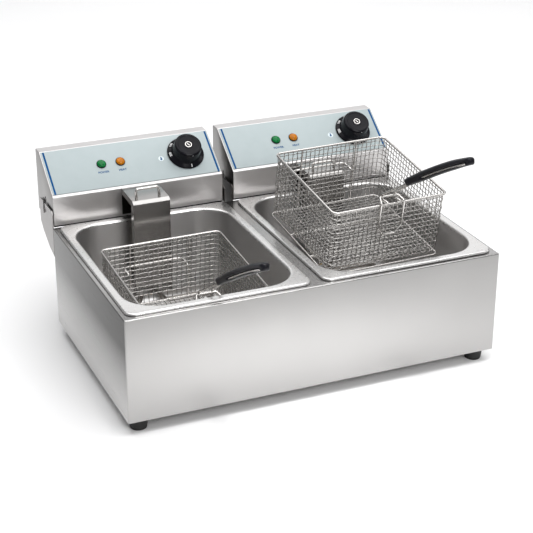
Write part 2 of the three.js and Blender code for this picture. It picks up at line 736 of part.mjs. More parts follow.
// Half of the grip's section as [x, height]: a broad back, a groove for the wire, and a lip below it.
const GRIP_SECTION = [
  [0, 6], [4, 5.6], [7, 3.8], [8, 1.6], [7.7, -0.1], [3.2, -0.2], [3.2, -4.8], [6.6, -4.9],
  [5.7, -6.8], [0, -7.5],
];

function handleGrip() {
  const right = GRIP_SECTION.map(([x, height]) => new THREE.Vector2(x, -height));
  const left = right.slice(1, -1).map((p) => new THREE.Vector2(-p.x, p.y)).reverse();
  const distances = [0, 40, 80, 120, HANDLE.gripLength];
  const middle = distances.map((distance) => at(0, ...gripPoint(distance)));
  const grip = swept([...right, ...left], middle);
  const [endY, endZ] = gripPoint(HANDLE.gripLength - END_WEB, -WIRE_DROP);
  const slot = block(-12, -7, -2.8, 12, 7, 2.8)
    .rotate([3 * GRIP_START.dip - GRIP_START.climb, 0, 0])
    .translate([0, endY, endZ]);
  return cut(grip, slot);
}

// Turns a piece of the handle up about the bracket's bar.
function folded(body, degrees) {
  return body.translate([0, -barY, -BAR.up]).rotate([-degrees, 0, 0]).translate([0, barY, BAR.up]);
}

function addBasket(name) {
  const { x, y, z, tilt, turn, fold } = BASKETS[name];
  const basket = new THREE.Group();
  basket.position.set(x, y, z);
  basket.rotation.set(THREE.MathUtils.degToRad(tilt), 0, THREE.MathUtils.degToRad(turn), "ZXY");
  const pieces = [
    ["basket_mesh", basketMesh(), WIRE],
    ["basket_frame", basketFrame(), WIRE],
    ["basket_hook", basketHook(), WIRE],
    ["handle_bracket", handleBracket(), WIRE],
    ["handle_wire", folded(handleWire(), fold), WIRE],
    ["handle_grip", folded(handleGrip(), fold), BLACK_PLASTIC],
  ];
  pieces.forEach(([piece, body, look]) => place(basket, `${piece}_${name}`, body, look));
  fryer.add(basket);
}

// ---------------------------------------------------------------- assembly
addCabinet();
for (const [name, side] of SIDES) {
  place(fryer, `tank_${name}`, tank().translate([tankX(side), 0, 0]), TANK_STEEL);
  addHead(name, side);
  addBasket(name);
}

// The origin is the middle of the whole object, on the surface that it stands on.
fryer.updateMatrixWorld(true);
const extent = new THREE.Box3().setFromObject(fryer, true);
const middle = extent.getCenter(at(0, 0, 0));
fryer.position.set(-middle.x, -middle.y, -extent.min.z);

export default fryer;
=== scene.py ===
# The visual model of a countertop twin-tank deep fryer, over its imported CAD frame. Shapes are drawn in
# millimetres, with x from the middle, y from the cabinet's front face and z from the floor.
import math

import bmesh
import bpy
import numpy as np
from mathutils import Matrix, Vector


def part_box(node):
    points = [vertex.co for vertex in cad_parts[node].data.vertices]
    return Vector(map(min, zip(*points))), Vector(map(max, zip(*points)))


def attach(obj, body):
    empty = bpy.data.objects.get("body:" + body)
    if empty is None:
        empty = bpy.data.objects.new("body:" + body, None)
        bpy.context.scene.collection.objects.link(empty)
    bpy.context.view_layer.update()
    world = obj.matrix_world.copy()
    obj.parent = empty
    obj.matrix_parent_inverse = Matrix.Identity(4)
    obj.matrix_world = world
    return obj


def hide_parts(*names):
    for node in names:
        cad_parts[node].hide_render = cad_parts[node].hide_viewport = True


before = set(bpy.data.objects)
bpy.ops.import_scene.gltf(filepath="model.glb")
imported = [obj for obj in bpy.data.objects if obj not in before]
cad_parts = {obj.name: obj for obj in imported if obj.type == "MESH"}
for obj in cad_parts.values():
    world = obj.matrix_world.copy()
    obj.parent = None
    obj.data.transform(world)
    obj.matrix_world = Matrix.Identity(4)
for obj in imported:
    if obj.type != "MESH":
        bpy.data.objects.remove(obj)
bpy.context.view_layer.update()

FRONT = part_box("cabinet_shell")[0][1]
TO_ROW = Matrix.Translation((0, FRONT, 0)) @ Matrix.Scale(0.001, 4)
SIDES = (("left", -1), ("right", 1))

# ---------------------------------------------------------------- sizes
FOOT_HEIGHT = 19.0
CABINET_HALF, CABINET_DEEP, CABINET_TOP, CABINET_EDGE = 280.0, 337.0, 171.0, 1.6
SHEET = 1.2
TANK_X, TANK_Y, TANK_DEEP, TANK_STEPS = 141.0, 169.2, 145.0, 16
# half of x, half of y and the corner's radius
TANK_INSIDE = (119.5, 148.75, 48)
TANK_FLANGE = (132.5, 162.5, 14)
HOLE_GAP = 3.0
HEAD_X, HEAD_HALF, HEAD_FRONT, HEAD_REAR = 143.0, 134.0, 339.0, 425.0
HEAD_LOW, HEAD_FOLD, HEAD_TOP, PANEL_TOP_Y = 169.4, 217.0, 266.4, 406.0
SLOPE = math.atan2(HEAD_TOP - HEAD_FOLD, PANEL_TOP_Y - HEAD_FRONT)
PANEL_LENGTH = math.hypot(HEAD_TOP - HEAD_FOLD, PANEL_TOP_Y - HEAD_FRONT)
KNOB_X, KNOB_UP = 87.0, 44.8
LAMP_X, LAMP_UP = {"green": -47.0, "amber": -17.2}, 46.5
# how far the film, its sign, its bars and its marks stand out of the panel
FILM_OUT, SIGN_OUT, BAR_OUT, MARK_OUT = 1.1, 1.15, 1.16, 1.2
FILM_MARGIN = 1.4
TEXT_THICK, TEXT_WEIGHT = 0.00003, 0.00014
PIVOT_Y, PIVOT_Z = 382.0, 183.0
BASKET_HALF_X, BASKET_HALF_Y, BASKET_DEEP, BASKET_CORNER = 92.0, 93.25, 101.8, 8.0
RIM_WIRE, FRAME_WIRE, MESH_WIRE, MESH_PITCH = 1.8, 1.5, 0.7, 7.4
UPRIGHT_X, HOOK_BACK, HOOK_DOWN = 46.0, 31.0, 52.9
# the middle of the rim's rear (x, y, z), the tilt and the turn, and how far the handle is folded, in degrees
BASKETS = {
    "left": (-145.3, 242.0, FOOT_HEIGHT + 147.2, 5.4, 1.0, -2.7),
    "right": (135.3, 260.0, FOOT_HEIGHT + 249.8, 8.9, 2.6, 0.0),
}


# ---------------------------------------------------------------- materials
# how a noise is stretched: not at all, or into grain along x, y or z
EVEN, ALONG_X, ALONG_Y, ALONG_Z = (1, 1, 1), (0.02, 1, 1), (1, 0.1, 1), (1, 1, 0.05)
BUMP_DISTANCE = 0.0002


class Nodes:
    """A small helper that builds a node material around one Principled shader."""

    def __init__(self, name):
        self.material = bpy.data.materials.new(name)
        self.material.use_nodes = True
        self.tree = self.material.node_tree
        self.shader = self.tree.nodes["Principled BSDF"]
        self.coords = self.tree.nodes.new("ShaderNodeTexCoord").outputs["Object"]

    def set(self, **values):
        for key, value in values.items():
            self.shader.inputs[key.replace("_", " ")].default_value = value
        return self

    def add(self, kind, **values):
        node = self.tree.nodes.new(kind)
        for key, value in values.items():
            if key in node.inputs:
                node.inputs[key].default_value = value
            else:
                setattr(node, key, value)
        return node

    def link(self, a, b):
        self.tree.links.new(a, b)

    def noise(self, scale, stretch=EVEN, detail=3.0):
        mapping = self.add("ShaderNodeMapping", Scale=stretch)
        self.link(self.coords, mapping.inputs["Vector"])
        noise = self.add("ShaderNodeTexNoise", Scale=scale, Detail=detail, Roughness=0.6)
        self.link(mapping.outputs["Vector"], noise.inputs["Vector"])
        return noise.outputs["Fac"]

    def ramp(self, factor, low, high, start=0.3, end=0.7):
        node = self.add("ShaderNodeMapRange")
        for key, value in (("From Min", start), ("From Max", end), ("To Min", low), ("To Max", high)):
            node.inputs[key].default_value = value
        self.link(factor, node.inputs["Value"])
        return node.outputs["Result"]

    def colours(self, factor, low, high, start=0.3, end=0.7):
        node = self.add("ShaderNodeValToRGB")
        node.color_ramp.elements[0].position = start
        node.color_ramp.elements[0].color = (*low, 1)
        node.color_ramp.elements[1].position = end
        node.color_ramp.elements[1].color = (*high, 1)
        self.link(factor, node.inputs["Fac"])
        self.link(node.outputs["Color"], self.shader.inputs["Base Color"])

    def roughness(self, factor, low, high):
        self.link(self.ramp(factor, low, high), self.shader.inputs["Roughness"])

    def bump(self, height, strength):
        node = self.add("ShaderNodeBump", Strength=strength, Distance=BUMP_DISTANCE)
        self.link(height, node.inputs["Height"])
        self.link(node.outputs["Normal"], self.shader.inputs["Normal"])


def metal(name, dark, light, rough, grain=EVEN, scale=900, bump=0.05, blotch=18):
    """Metal with fine grain along one way and faint broad unevenness."""
    m = Nodes(name).set(Metallic=1.0)
    fine = m.noise(scale, grain, 4)
    m.colours(m.noise(blotch, detail=2), dark, light, 0.25, 0.75)
    m.roughness(fine, *rough)
    m.bump(fine, bump)
    return m.material


def shaded(name, low, high, z0, z1, rough):
    """Steel with painted shade: its colour goes from low at the height z0, in metres, to high at z1."""
    m = Nodes(name).set(Metallic=1.0)
    axes = m.add("ShaderNodeSeparateXYZ")
    m.link(m.coords, axes.inputs["Vector"])
    height = m.ramp(axes.outputs["Z"], 0, 1, z0, z1)
    m.colours(height, low, high, 0.0, 1.0)
    m.roughness(m.noise(900, (1, 0.02, 1), 4), *rough)
    return m.material


def plastic(name, dark, light, rough, scale=600, bump=0.05, **values):
    """Plastic, or any other stuff that isn't metal, with a faint speckle."""
    m = Nodes(name).set(**values)
    speck = m.noise(scale)
    m.colours(m.noise(scale / 8), dark, light)
    m.roughness(speck, *rough)
    m.bump(speck, bump)
    return m.material


CABINET_STEEL = metal(
    "cabinet_steel", (0.415, 0.408, 0.402), (0.435, 0.428, 0.422), (0.22, 0.25), ALONG_X, 900, 0.008, 9
)
# painted shade: the cabinet's side faces are painted darker towards their top
SIDE_PAINTED_SHADE = shaded(
    "side_painted_shade", (0.58, 0.573, 0.566), (0.085, 0.084, 0.082), 0.04, 0.125, (0.24, 0.28)
)
HEAD_STEEL = metal("head_steel", (0.60, 0.585, 0.58), (0.66, 0.645, 0.64), (0.38, 0.44), ALONG_X, 900, 0.01)
# painted shade: a darker copy of the head's steel for the heads' side plates
HEAD_SIDE_PAINTED_SHADE = metal(
    "head_side_painted_shade", (0.26, 0.255, 0.25), (0.31, 0.305, 0.30), (0.28, 0.34), ALONG_X, 900, 0.01
)
TANK_STEEL = metal("tank_steel", (0.73, 0.72, 0.715), (0.77, 0.76, 0.755), (0.35, 0.38), EVEN, 200, 0.0)
FLANGE_STEEL = metal("flange_steel", (0.72, 0.71, 0.70), (0.76, 0.75, 0.74), (0.27, 0.285), EVEN, 200, 0.0)
GUARD_STEEL = metal("guard_steel", (0.38, 0.37, 0.36), (0.43, 0.42, 0.41), (0.17, 0.22), ALONG_Z, 900, 0.02)
BRACKET_STEEL = metal(
    "bracket_steel", (0.30, 0.29, 0.285), (0.35, 0.34, 0.335), (0.3, 0.36), ALONG_Y, 900, 0.02
)
# painted shade: a near-black copy of the bracket steel for the centre bracket in the gap between the heads
CENTRE_PAINTED_SHADE = metal(
    "centre_bracket_painted_shade", (0.05, 0.047, 0.044), (0.09, 0.085, 0.08), (0.3, 0.4), ALONG_Y
)
# a duller steel for inner parts, also used as painted shade on the tanks' outer walls
INNER_AND_PAINTED_SHADE_STEEL = metal("inner_and_painted_shade_steel", (0.45, 0.44, 0.43), (0.50, 0.49, 0.48), (0.34, 0.38), ALONG_X, 900, 0.01)
# painted shade: near-black steel for the heads' recessed lips and the guards' insides
PAINTED_SHADE_STEEL = metal("painted_shade_steel", (0.02, 0.019, 0.018), (0.035, 0.033, 0.031), (0.4, 0.5), ALONG_Z, 400, 0.0)
MESH_STEEL = metal("mesh_steel", (0.47, 0.455, 0.44), (0.54, 0.525, 0.505), (0.2, 0.22), EVEN, 200, 0.0)
WIRE_STEEL = metal("wire_steel", (0.60, 0.58, 0.56), (0.70, 0.68, 0.655), (0.2, 0.26), EVEN, 300, 0.0)
ELEMENT_STEEL = metal("element_steel", (0.16, 0.14, 0.12), (0.3, 0.28, 0.26), (0.35, 0.55), scale=300)
BRASS = metal("brass_plain", (0.6, 0.44, 0.2), (0.7, 0.54, 0.28), (0.3, 0.45), scale=400)
PANEL_FILM = plastic("panel_film", (0.375, 0.437, 0.446), (0.395, 0.456, 0.466), (0.3, 0.38), 400, 0.03)
PANEL_BLUE = plastic(
    "panel_blue", (0.0, 0.062, 0.19), (0.0, 0.072, 0.22), (0.4, 0.5), Specular_IOR_Level=0.1
)
PANEL_WHITE = plastic("panel_white", (0.68, 0.76, 0.79), (0.72, 0.80, 0.83), (0.3, 0.4))
BLACK = plastic(
    "black_plastic", (0.004, 0.004, 0.006), (0.008, 0.008, 0.011), (0.16, 0.22), 500, 0.01,
    Specular_IOR_Level=0.13,
)
GRIP_BLACK = plastic(
    "grip_black", (0.004, 0.004, 0.006), (0.008, 0.008, 0.012), (0.3, 0.36), 700, 0.01,
    Specular_IOR_Level=0.16,
)
DIAL_WHITE = plastic("dial_white", (0.75, 0.75, 0.75), (0.85, 0.85, 0.85), (0.4, 0.5))
RUBBER = plastic("foot_rubber", (0.008, 0.008, 0.008), (0.016, 0.016, 0.016), (0.6, 0.75), 900, 0.2)
CERAMIC = plastic("ceramic", (0.68, 0.64, 0.55), (0.76, 0.72, 0.63), (0.5, 0.65))
RED = plastic("red_button", (0.4, 0.02, 0.015), (0.5, 0.03, 0.02), (0.3, 0.4))


def lens(name, dark, light, glow):
    """A lamp's coloured cap, with a faint glow."""
    m = Nodes(name).set(Emission_Strength=0.05, Emission_Color=(*glow, 1), Specular_IOR_Level=0.25)
    m.colours(m.noise(260), dark, light)
    m.roughness(m.noise(400), 0.08, 0.16)
    return m.material


GREEN_LENS = lens("green_lens", (0.0, 0.10, 0.02), (0.0, 0.20, 0.045), (0.0, 0.25, 0.06))
AMBER_LENS = lens("amber_lens", (0.34, 0.10, 0.0), (0.56, 0.19, 0.005), (0.75, 0.25, 0.0))


# ---------------------------------------------------------------- shapes
# the radius of a turned piece at its axis, where a ring of points can't be nought
AXIS = 0.01


class Shape:
    """Points and faces that are gathered into one mesh."""

    def __init__(self):
        self.points = []
        self.faces = []

    def add(self, points, faces):
        start = len(self.points)
        self.points.extend([float(v) for v in p] for p in points)
        self.faces.extend([start + i for i in face] for face in faces)
        return self


def rounded(corners, radius, closed=False, steps=8):
    """The points of a route with its corners rounded."""
    corners = [Vector(c) for c in corners]
    count = len(corners)
    points = []
    for i, corner in enumerate(corners):
        if not closed and i in (0, count - 1):
            points.append(corner)
            continue
        back = (corners[i - 1] - corner).normalized()
        onward = (corners[(i + 1) % count] - corner).normalized()
        half = back.angle(onward) / 2
        if half > math.radians(88):
            points.append(corner)
            continue
        inward = (back + onward).normalized()
        centre = corner + inward * (radius / math.sin(half))
        start = corner + back * (radius / math.tan(half)) - centre
        axis = onward.cross(back).normalized()
        for step in range(steps + 1):
            turn = (math.pi - 2 * half) * step / steps
            points.append(Matrix.Rotation(turn, 3, axis) @ start + centre)
    return points


def band(a, b, count):
    """The faces between two rings of points that start at a and at b."""
    return [(a + k, a + (k + 1) % count, b + (k + 1) % count, b + k) for k in range(count)]


def lids(levels, count):
    """The faces that close the first and the last of some rings of points."""
    return [tuple(reversed(range(count))), tuple(range((levels - 1) * count, levels * count))]


def mirrored(points):
    """The same points on the other side of x = 0, in the opposite order."""
    return [(-x, y, z) for x, y, z in reversed(points)]


def tube(shape, points, radius, sides=12, closed=False):
    """A round wire along points, with slightly domed ends."""
    p = np.array([tuple(v) for v in points])
    if closed:
        tangents = np.roll(p, -1, 0) - np.roll(p, 1, 0)
    else:
        tangents = np.gradient(p, axis=0)
    tangents /= np.linalg.norm(tangents, axis=1)[:, None]
    helper = np.eye(3)[np.argmin(np.abs(tangents[0]))]
    normals = []
    for tangent in tangents:
        helper = helper - tangent * helper.dot(tangent)
        helper /= np.linalg.norm(helper)
        normals.append(helper)
    normals = np.array(normals)
    others = np.cross(tangents, normals)
    angles = np.arange(sides) * 2 * math.pi / sides
    cos, sin = np.cos(angles)[None, :, None], np.sin(angles)[None, :, None]
    ring = cos * normals[:, None] + sin * others[:, None]
    rows = p[:, None] + radius * ring
    if not closed:
        ends = [(0, -1), (len(p) - 1, 1)]
        caps = [p[i] + sign * tangents[i] * radius * 0.35 + ring[i] * radius * 0.7 for i, sign in ends]
        rows = np.concatenate([caps[0][None], rows, caps[1][None]])
    count = len(rows)
    faces = []
    for row in range(count if closed else count - 1):
        faces += band(row * sides, (row + 1) % count * sides, sides)
    if not closed:
        faces += lids(count, sides)
    return shape.add(rows.reshape(-1, 3), faces)


def rounded_rectangle(half_x, half_y, radius, z, middle_y, steps):
    """The points of a level rectangle with round corners."""
    points = []
    for quarter, (sx, sy) in enumerate(((1, 1), (-1, 1), (-1, -1), (1, -1))):
        for step in range(steps + 1):
            angle = (quarter + step / steps) * math.pi / 2
            x = sx * (half_x - radius) + radius * math.cos(angle)
            y = sy * (half_y - radius) + radius * math.sin(angle)
            points.append((x, middle_y + y, z))
    return points


def loft(shape, rings, cap=True):
    """A skin through rings of points, closed at its ends by cap."""
    levels, count = len(rings), len(rings[0])
    faces = []
    for level in range(levels - 1):
        faces += band(level * count, (level + 1) * count, count)
    if cap:
        faces += lids(levels, count)
    return shape.add([p for ring in rings for p in ring], faces)


def turned(shape, profile, sides, matrix):
    """A turned piece about +Z from a profile of (radius, z) that goes up on the outside."""
    rings = []
    for radius, z in profile:
        angles = [2 * math.pi * k / sides for k in range(sides)]
        rings.append([matrix @ Vector((radius * math.cos(a), radius * math.sin(a), z)) for a in angles])
    return loft(shape, rings)


def arc_profile(profile, radius, steps=4):
    """A profile of (radius, z) with its corners rounded."""
    route = rounded([(r, 0, z) for r, z in profile], radius, steps=steps)
    return [(p.x, p.z) for p in route]


def slab(shape, outline, x0, x1):
    """An outline of (y, z) made thick along X."""
    count = len(outline)
    points = [(x0, y, z) for y, z in outline] + [(x1, y, z) for y, z in outline]
    faces = [(k, k + count, (k + 1) % count + count, (k + 1) % count) for k in range(count)]
    faces.append(tuple(range(count)))
    faces.append(tuple(reversed(range(count, 2 * count))))
    return shape.add(points, faces)


def box(shape, low, high, matrix=None):
    """A block between two opposite corners."""
    xs, ys, zs = zip(low, high)
    points = [Vector((x, y, z)) for x in xs for y in ys for z in zs]
    if matrix is not None:
        points = [matrix @ p for p in points]
    faces = [(0, 1, 3, 2), (4, 6, 7, 5), (0, 4, 5, 1), (2, 3, 7, 6), (0, 2, 6, 4), (1, 5, 7, 3)]
    return shape.add(points, faces)


def object_of(name, shape, matrix=None):
    """The Blender object of a shape, placed by a matrix in millimetres."""
    mesh = bpy.data.meshes.new(name)
    whole = TO_ROW @ matrix if matrix is not None else TO_ROW
    mesh.from_pydata(shape.points, [], shape.faces)
    mesh.transform(whole)
    made = bmesh.new()
    made.from_mesh(mesh)
    bmesh.ops.recalc_face_normals(made, faces=made.faces)
    made.to_mesh(mesh)
    made.free()
    piece = bpy.data.objects.new(name, mesh)
    bpy.context.scene.collection.objects.link(piece)
    return piece


def modify(piece, kind, **values):
    """Applies a modifier to a piece's mesh."""
    modifier = piece.modifiers.new(kind, kind)
    for key, value in values.items():
        setattr(modifier, key, value)
    graph = bpy.context.evaluated_depsgraph_get()
    mesh = bpy.data.meshes.new_from_object(piece.evaluated_get(graph))
    piece.modifiers.clear()
    piece.data = mesh


def bevel(piece, width, segments, angle=35):
    modify(
        piece, "BEVEL", width=width / 1000, segments=segments, limit_method="ANGLE",
        angle_limit=math.radians(angle), harden_normals=False,
    )


def hollow(piece):
    """Turns a closed skin into sheet metal."""
    modify(piece, "SOLIDIFY", thickness=SHEET / 1000, offset=-1, use_even_offset=True)


def cut(piece, shape):
    """Cuts a shape out of a piece."""
    cutter = object_of("cutter", shape)
    modify(piece, "BOOLEAN", operation="DIFFERENCE", object=cutter, solver="EXACT")
    bpy.data.objects.remove(cutter)


def settle(piece, material, body, replaces=(), sharp=30):
    """Gives a piece its material, body and the CAD nodes that it replaces. Edges over sharp degrees are
    drawn sharp, and with 0 none are."""
    piece.data.materials.clear()
    piece.data.materials.append(material)
    piece.data.polygons.foreach_set("use_smooth", [True] * len(piece.data.polygons))
    if sharp:
        piece.data.set_sharp_from_angle(angle=math.radians(sharp))
    piece.data.update()
    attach(piece, body)
    for node in replaces:
        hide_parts(node)


def second(piece, material, chosen):
    """Gives a second material to the faces that are chosen."""
    piece.data.materials.append(material)
    for face in piece.data.polygons:
        if chosen(face):
            face.material_index = len(piece.data.materials) - 1


def sideways(face):
    return abs(face.normal.x) > 0.9


def dress(node, material):
    """Gives a CAD node that stays a better material."""
    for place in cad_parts[node].material_slots:
        place.material = material


# ---------------------------------------------------------------- cabinet
def tank_ring(side, size, grow, z):
    """A level ring about a tank's axis: a size of (half of x, half of y, corner) that is grown."""
    points = rounded_rectangle(*(value + grow for value in size), z, TANK_Y, TANK_STEPS)
    return [(x + side * TANK_X, y, z) for x, y, z in points]


def cabinet():
    """A folded shell with two openings, and its feet, which stand where the CAD has them."""
    half_y, cut_through, corner_steps = CABINET_DEEP / 2, 8, 5
    rings = [rounded_rectangle(CABINET_HALF, half_y, CABINET_EDGE, FOOT_HEIGHT, half_y, corner_steps)]
    for inset, drop in ((0, 1.6), (0.25, 0.8), (0.8, 0.25), (1.6, 0)):
        rings.append(rounded_rectangle(
            CABINET_HALF - inset, half_y - inset, CABINET_EDGE, CABINET_TOP - drop, half_y, corner_steps
        ))
    skin = loft(Shape(), rings, cap=False)
    top = len(skin.points) - len(rings[0])
    skin.faces.append(tuple(range(top, len(skin.points))))
    piece = object_of("cabinet_body", skin)
    hollow(piece)
    for _, side in SIDES:
        heights = (CABINET_TOP - cut_through, CABINET_TOP + cut_through)
        cut(piece, loft(Shape(), [tank_ring(side, TANK_INSIDE, HOLE_GAP, z) for z in heights]))
    settle(piece, CABINET_STEEL, "cabinet", ["cabinet_shell"])
    # the side faces take the steel with painted shade, darker towards the top
    second(piece, SIDE_PAINTED_SHADE, sideways)

    dress("base_plate", INNER_AND_PAINTED_SHADE_STEEL)
    # a foot's outline, with the stud that goes up into the cabinet
    pad = arc_profile(
        [(AXIS, 0), (11.6, 0), (12, 2.6), (13.5, 15), (13.5, 19), (3, 19), (3, 25.9), (AXIS, 25.9)], 0.8
    )
    for spot in ("front_left", "front_right", "rear_left", "rear_right"):
        low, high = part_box(f"foot_{spot}")
        x, y = (low[0] + high[0]) * 500, (low[1] + high[1]) * 500 - FRONT * 1000
        foot = turned(Shape(), pad, 40, Matrix.Translation((x, y, 0)))
        settle(object_of(f"pad_{spot}", foot), RUBBER, "cabinet", [f"foot_{spot}"])
    # the centre bracket between the heads is painted near black as shade
    for name, material in (("left", BRACKET_STEEL), ("right", BRACKET_STEEL), ("centre", CENTRE_PAINTED_SHADE)):
        dress(f"ear_bracket_{name}", material)


# ---------------------------------------------------------------- tanks
def arc(degrees, steps):
    """The sine and the cosine at even steps from 0 to a number of degrees."""
    turns = [math.radians(degrees * step / steps) for step in range(steps + 1)]
    return [(math.sin(turn), math.cos(turn)) for turn in turns]


def tank(name, side):
    """A pan with a flange. Its section is drawn as pairs of (inset, height over the cabinet's top)."""
    rise, floor, wall, draft = 4.0, 4.0 - TANK_DEEP, 1, 4
    lip, bend, hem = 4, 18, 2
    inside, outside = [], []
    for sin, cos in arc(90, 6):
        inside.append((-lip + lip * sin, rise - lip + lip * cos))
        outside.append((-lip + (lip - wall) * sin, rise - lip + (lip - wall) * cos))
    for sin, cos in arc(88, 8):
        inside.append((draft + bend * (1 - cos), floor + bend - bend * sin))
        outside.append((draft + bend - (bend + wall) * cos, floor + bend - (bend + wall) * sin))
    edge = [(hem - hem * sin, rise - hem + hem * cos) for sin, cos in arc(90, 5)]
    edge += [(0, 0.6), (wall, 0.6), (wall, rise - 2.2), (hem, rise - wall)]

    def rings(section, size):
        return [tank_ring(side, size, -inset, CABINET_TOP + z) for inset, z in section]

    pan = loft(Shape(), [
        *rings(reversed(inside), TANK_INSIDE), *rings(edge, TANK_FLANGE), *rings(outside, TANK_INSIDE)
    ])
    piece = object_of(f"pan_{name}", pan)
    settle(piece, TANK_STEEL, f"tank_{name}", [f"tank_{name}"], 40)
    flange = (CABINET_TOP - 1) / 1000
    second(piece, FLANGE_STEEL, lambda face: face.center.z > flange)
    # painted shade: the tank's outer walls below the flange take the darker inner steel
    middle = TO_ROW @ Vector((side * TANK_X, TANK_Y, CABINET_TOP + floor / 2))
    second(piece, INNER_AND_PAINTED_SHADE_STEEL, lambda face: (
        face.center.z <= flange and face.normal.dot(face.center - middle) > 0
    ))


# ---------------------------------------------------------------- heads
def on_panel(side, x, up, out=0.0):
    """The matrix of a place on the sloped panel: its x, up the slope, and out of it."""
    turn = Matrix.Rotation(SLOPE, 4, "X")
    base = Matrix.Translation((side * HEAD_X, HEAD_FRONT, HEAD_FOLD))
    return base @ turn @ Matrix.Translation((x, up, out))


def fold(shape, line, x0, x1, radius):
    """A folded sheet: a line of (y, z) made thick to its right, and wide along X, with round folds."""
    outer = [Vector((p.y, p.z)) for p in rounded([(0, y, z) for y, z in line], radius, steps=5)]
    inner = []
    for i, point in enumerate(outer):
        before = outer[i] - outer[i - 1] if i else outer[1] - outer[0]
        after = outer[i + 1] - outer[i] if i < len(outer) - 1 else before
        along = (before.normalized() + after.normalized()).normalized()
        inner.append(point + Vector((along.y, -along.x)) * SHEET)
    count = len(outer)
    points = []
    for x in (x0, x1):
        points += [(x, p.x, p.y) for p in outer] + [(x, p.x, p.y) for p in inner]
    faces = []
    for i in range(count - 1):
        a, b, c, d = i, i + count, i + 2 * count, i + 3 * count
        faces += [(a, a + 1, c + 1, c), (b, d, d + 1, b + 1), (a, b, b + 1, a + 1), (c, c + 1, d + 1, d)]
    faces += [(0, 2 * count, 3 * count, count), (count - 1, 2 * count - 1, 4 * count - 1, 3 * count - 1)]
    return shape.add(points, faces)


def housing(name, side):
    """A head's folded shell, whose front plate ends above a recessed lip painted near black as shade."""
    lip = HEAD_LOW + 3.4
    outline = [
        (HEAD_FRONT, lip), (HEAD_FRONT + 3, lip), (HEAD_FRONT + 3, HEAD_LOW), (HEAD_REAR, HEAD_LOW),
        (HEAD_REAR, HEAD_TOP), (PANEL_TOP_Y, HEAD_TOP), (HEAD_FRONT, HEAD_FOLD),
    ]
    x0, x1 = side * HEAD_X - HEAD_HALF, side * HEAD_X + HEAD_HALF
    shell = slab(Shape(), outline, x0, x1)
    # the face between the outline's points 3 and 4 is left out: the cover closes the rear
    count = len(outline)
    rear = {3, 4, 3 + count, 4 + count}
    shell.faces = [f for f in shell.faces if set(f) != rear]
    piece = object_of(f"head_shell_{name}", shell)
    bevel(piece, 0.9, 4, 25)
    hollow(piece)
    # the slot for the pivot rod, through both sides
    cut(piece, box(Shape(), (x0 - 5, PIVOT_Y - 2, PIVOT_Z - 3.8), (x1 + 5, PIVOT_Y + 2, PIVOT_Z + 22)))
    settle(piece, HEAD_STEEL, f"head_{name}", [f"housing_{name}"])
    # the side plates take the darker copy of the head's steel as painted shade
    second(piece, HEAD_SIDE_PAINTED_SHADE, sideways)
    # painted shadow: the recessed lip under the front plate is painted near black
    low = lip / 1000 + 0.0001
    second(piece, PAINTED_SHADE_STEEL, lambda face: face.center.z < low and abs(face.normal.x) < 0.5)


def panel(name, side):
    """The film on the sloped face, with two bars, a sign and a word under each lamp."""
    body, sheet = f"head_{name}", on_panel(side, 0, 0)
    half = HEAD_HALF - FILM_MARGIN
    film = box(Shape(), (-half, 4.4, 0.3), (half, PANEL_LENGTH - FILM_MARGIN, FILM_OUT), sheet)
    piece = object_of(f"panel_film_{name}", film)
    bevel(piece, 0.4, 2)
    settle(piece, PANEL_FILM, body, [f"panel_overlay_{name}"])

    bars = Shape()
    for x in (-half + 4.1, half - 3.3):
        box(bars, (x - 1.5, 4.6, FILM_OUT), (x + 1.5, PANEL_LENGTH - 2.6, BAR_OUT), sheet)
    settle(object_of(f"panel_bars_{name}", bars), PANEL_BLUE, body)

    # a thermometer on a round sign: its bulb, its tube and three strokes
    middle = on_panel(side, 46.7, 41.8)
    sign = turned(Shape(), [(4.3, FILM_OUT), (4.3, SIGN_OUT)], 40, middle)
    settle(object_of(f"panel_sign_{name}", sign), PANEL_WHITE, body)
    mark = Shape()
    turned(mark, [(1.6, SIGN_OUT), (1.6, MARK_OUT)], 20, middle @ Matrix.Translation((0, -1.4, 0)))
    box(mark, (-0.8, -1.0, SIGN_OUT), (0.8, 3.0, MARK_OUT), middle)
    for step in range(3):
        box(mark, (1.2, 0.2 + step, SIGN_OUT), (2.1, 0.6 + step, MARK_OUT), middle)
    settle(object_of(f"panel_mark_{name}", mark), PANEL_BLUE, body)

    for word, colour in (("POWER", "green"), ("HEAT", "amber")):
        place = on_panel(side, LAMP_X[colour], LAMP_UP - 16.0, 1.14)
        piece = figures(word, 4.9, place, f"panel_{word.lower()}_{name}")
        settle(piece, PANEL_BLUE, body, sharp=0)


def lamp(name, side, colour, material):
    body, place = f"head_{name}", on_panel(side, LAMP_X[colour], LAMP_UP)
    stem = [(AXIS, -20), (5, -20), (6, -19), (6, 1.4), (6.7, 1.4), (6.7, 2.4)]
    angles = [math.radians(a) for a in range(10, 90, 10)]
    dome = [(6.7 * math.cos(a), 2.4 + 3.8 * math.sin(a)) for a in angles]
    glass = turned(Shape(), [*stem, *dome, (AXIS, 6.2)], 40, place)
    ring = [(5.9, 1.4), (7.5, 1.4), (7.5, 2.1), (7.2, 2.7), (6.75, 2.9), (6.6, 2.5)]
    collar = turned(Shape(), ring, 40, place)
    settle(object_of(f"collar_{colour}_{name}", collar), BLACK, body)
    piece = object_of(f"lens_{colour}_{name}", glass)
    settle(piece, material, body, [f"lamp_{colour}_{name}"])


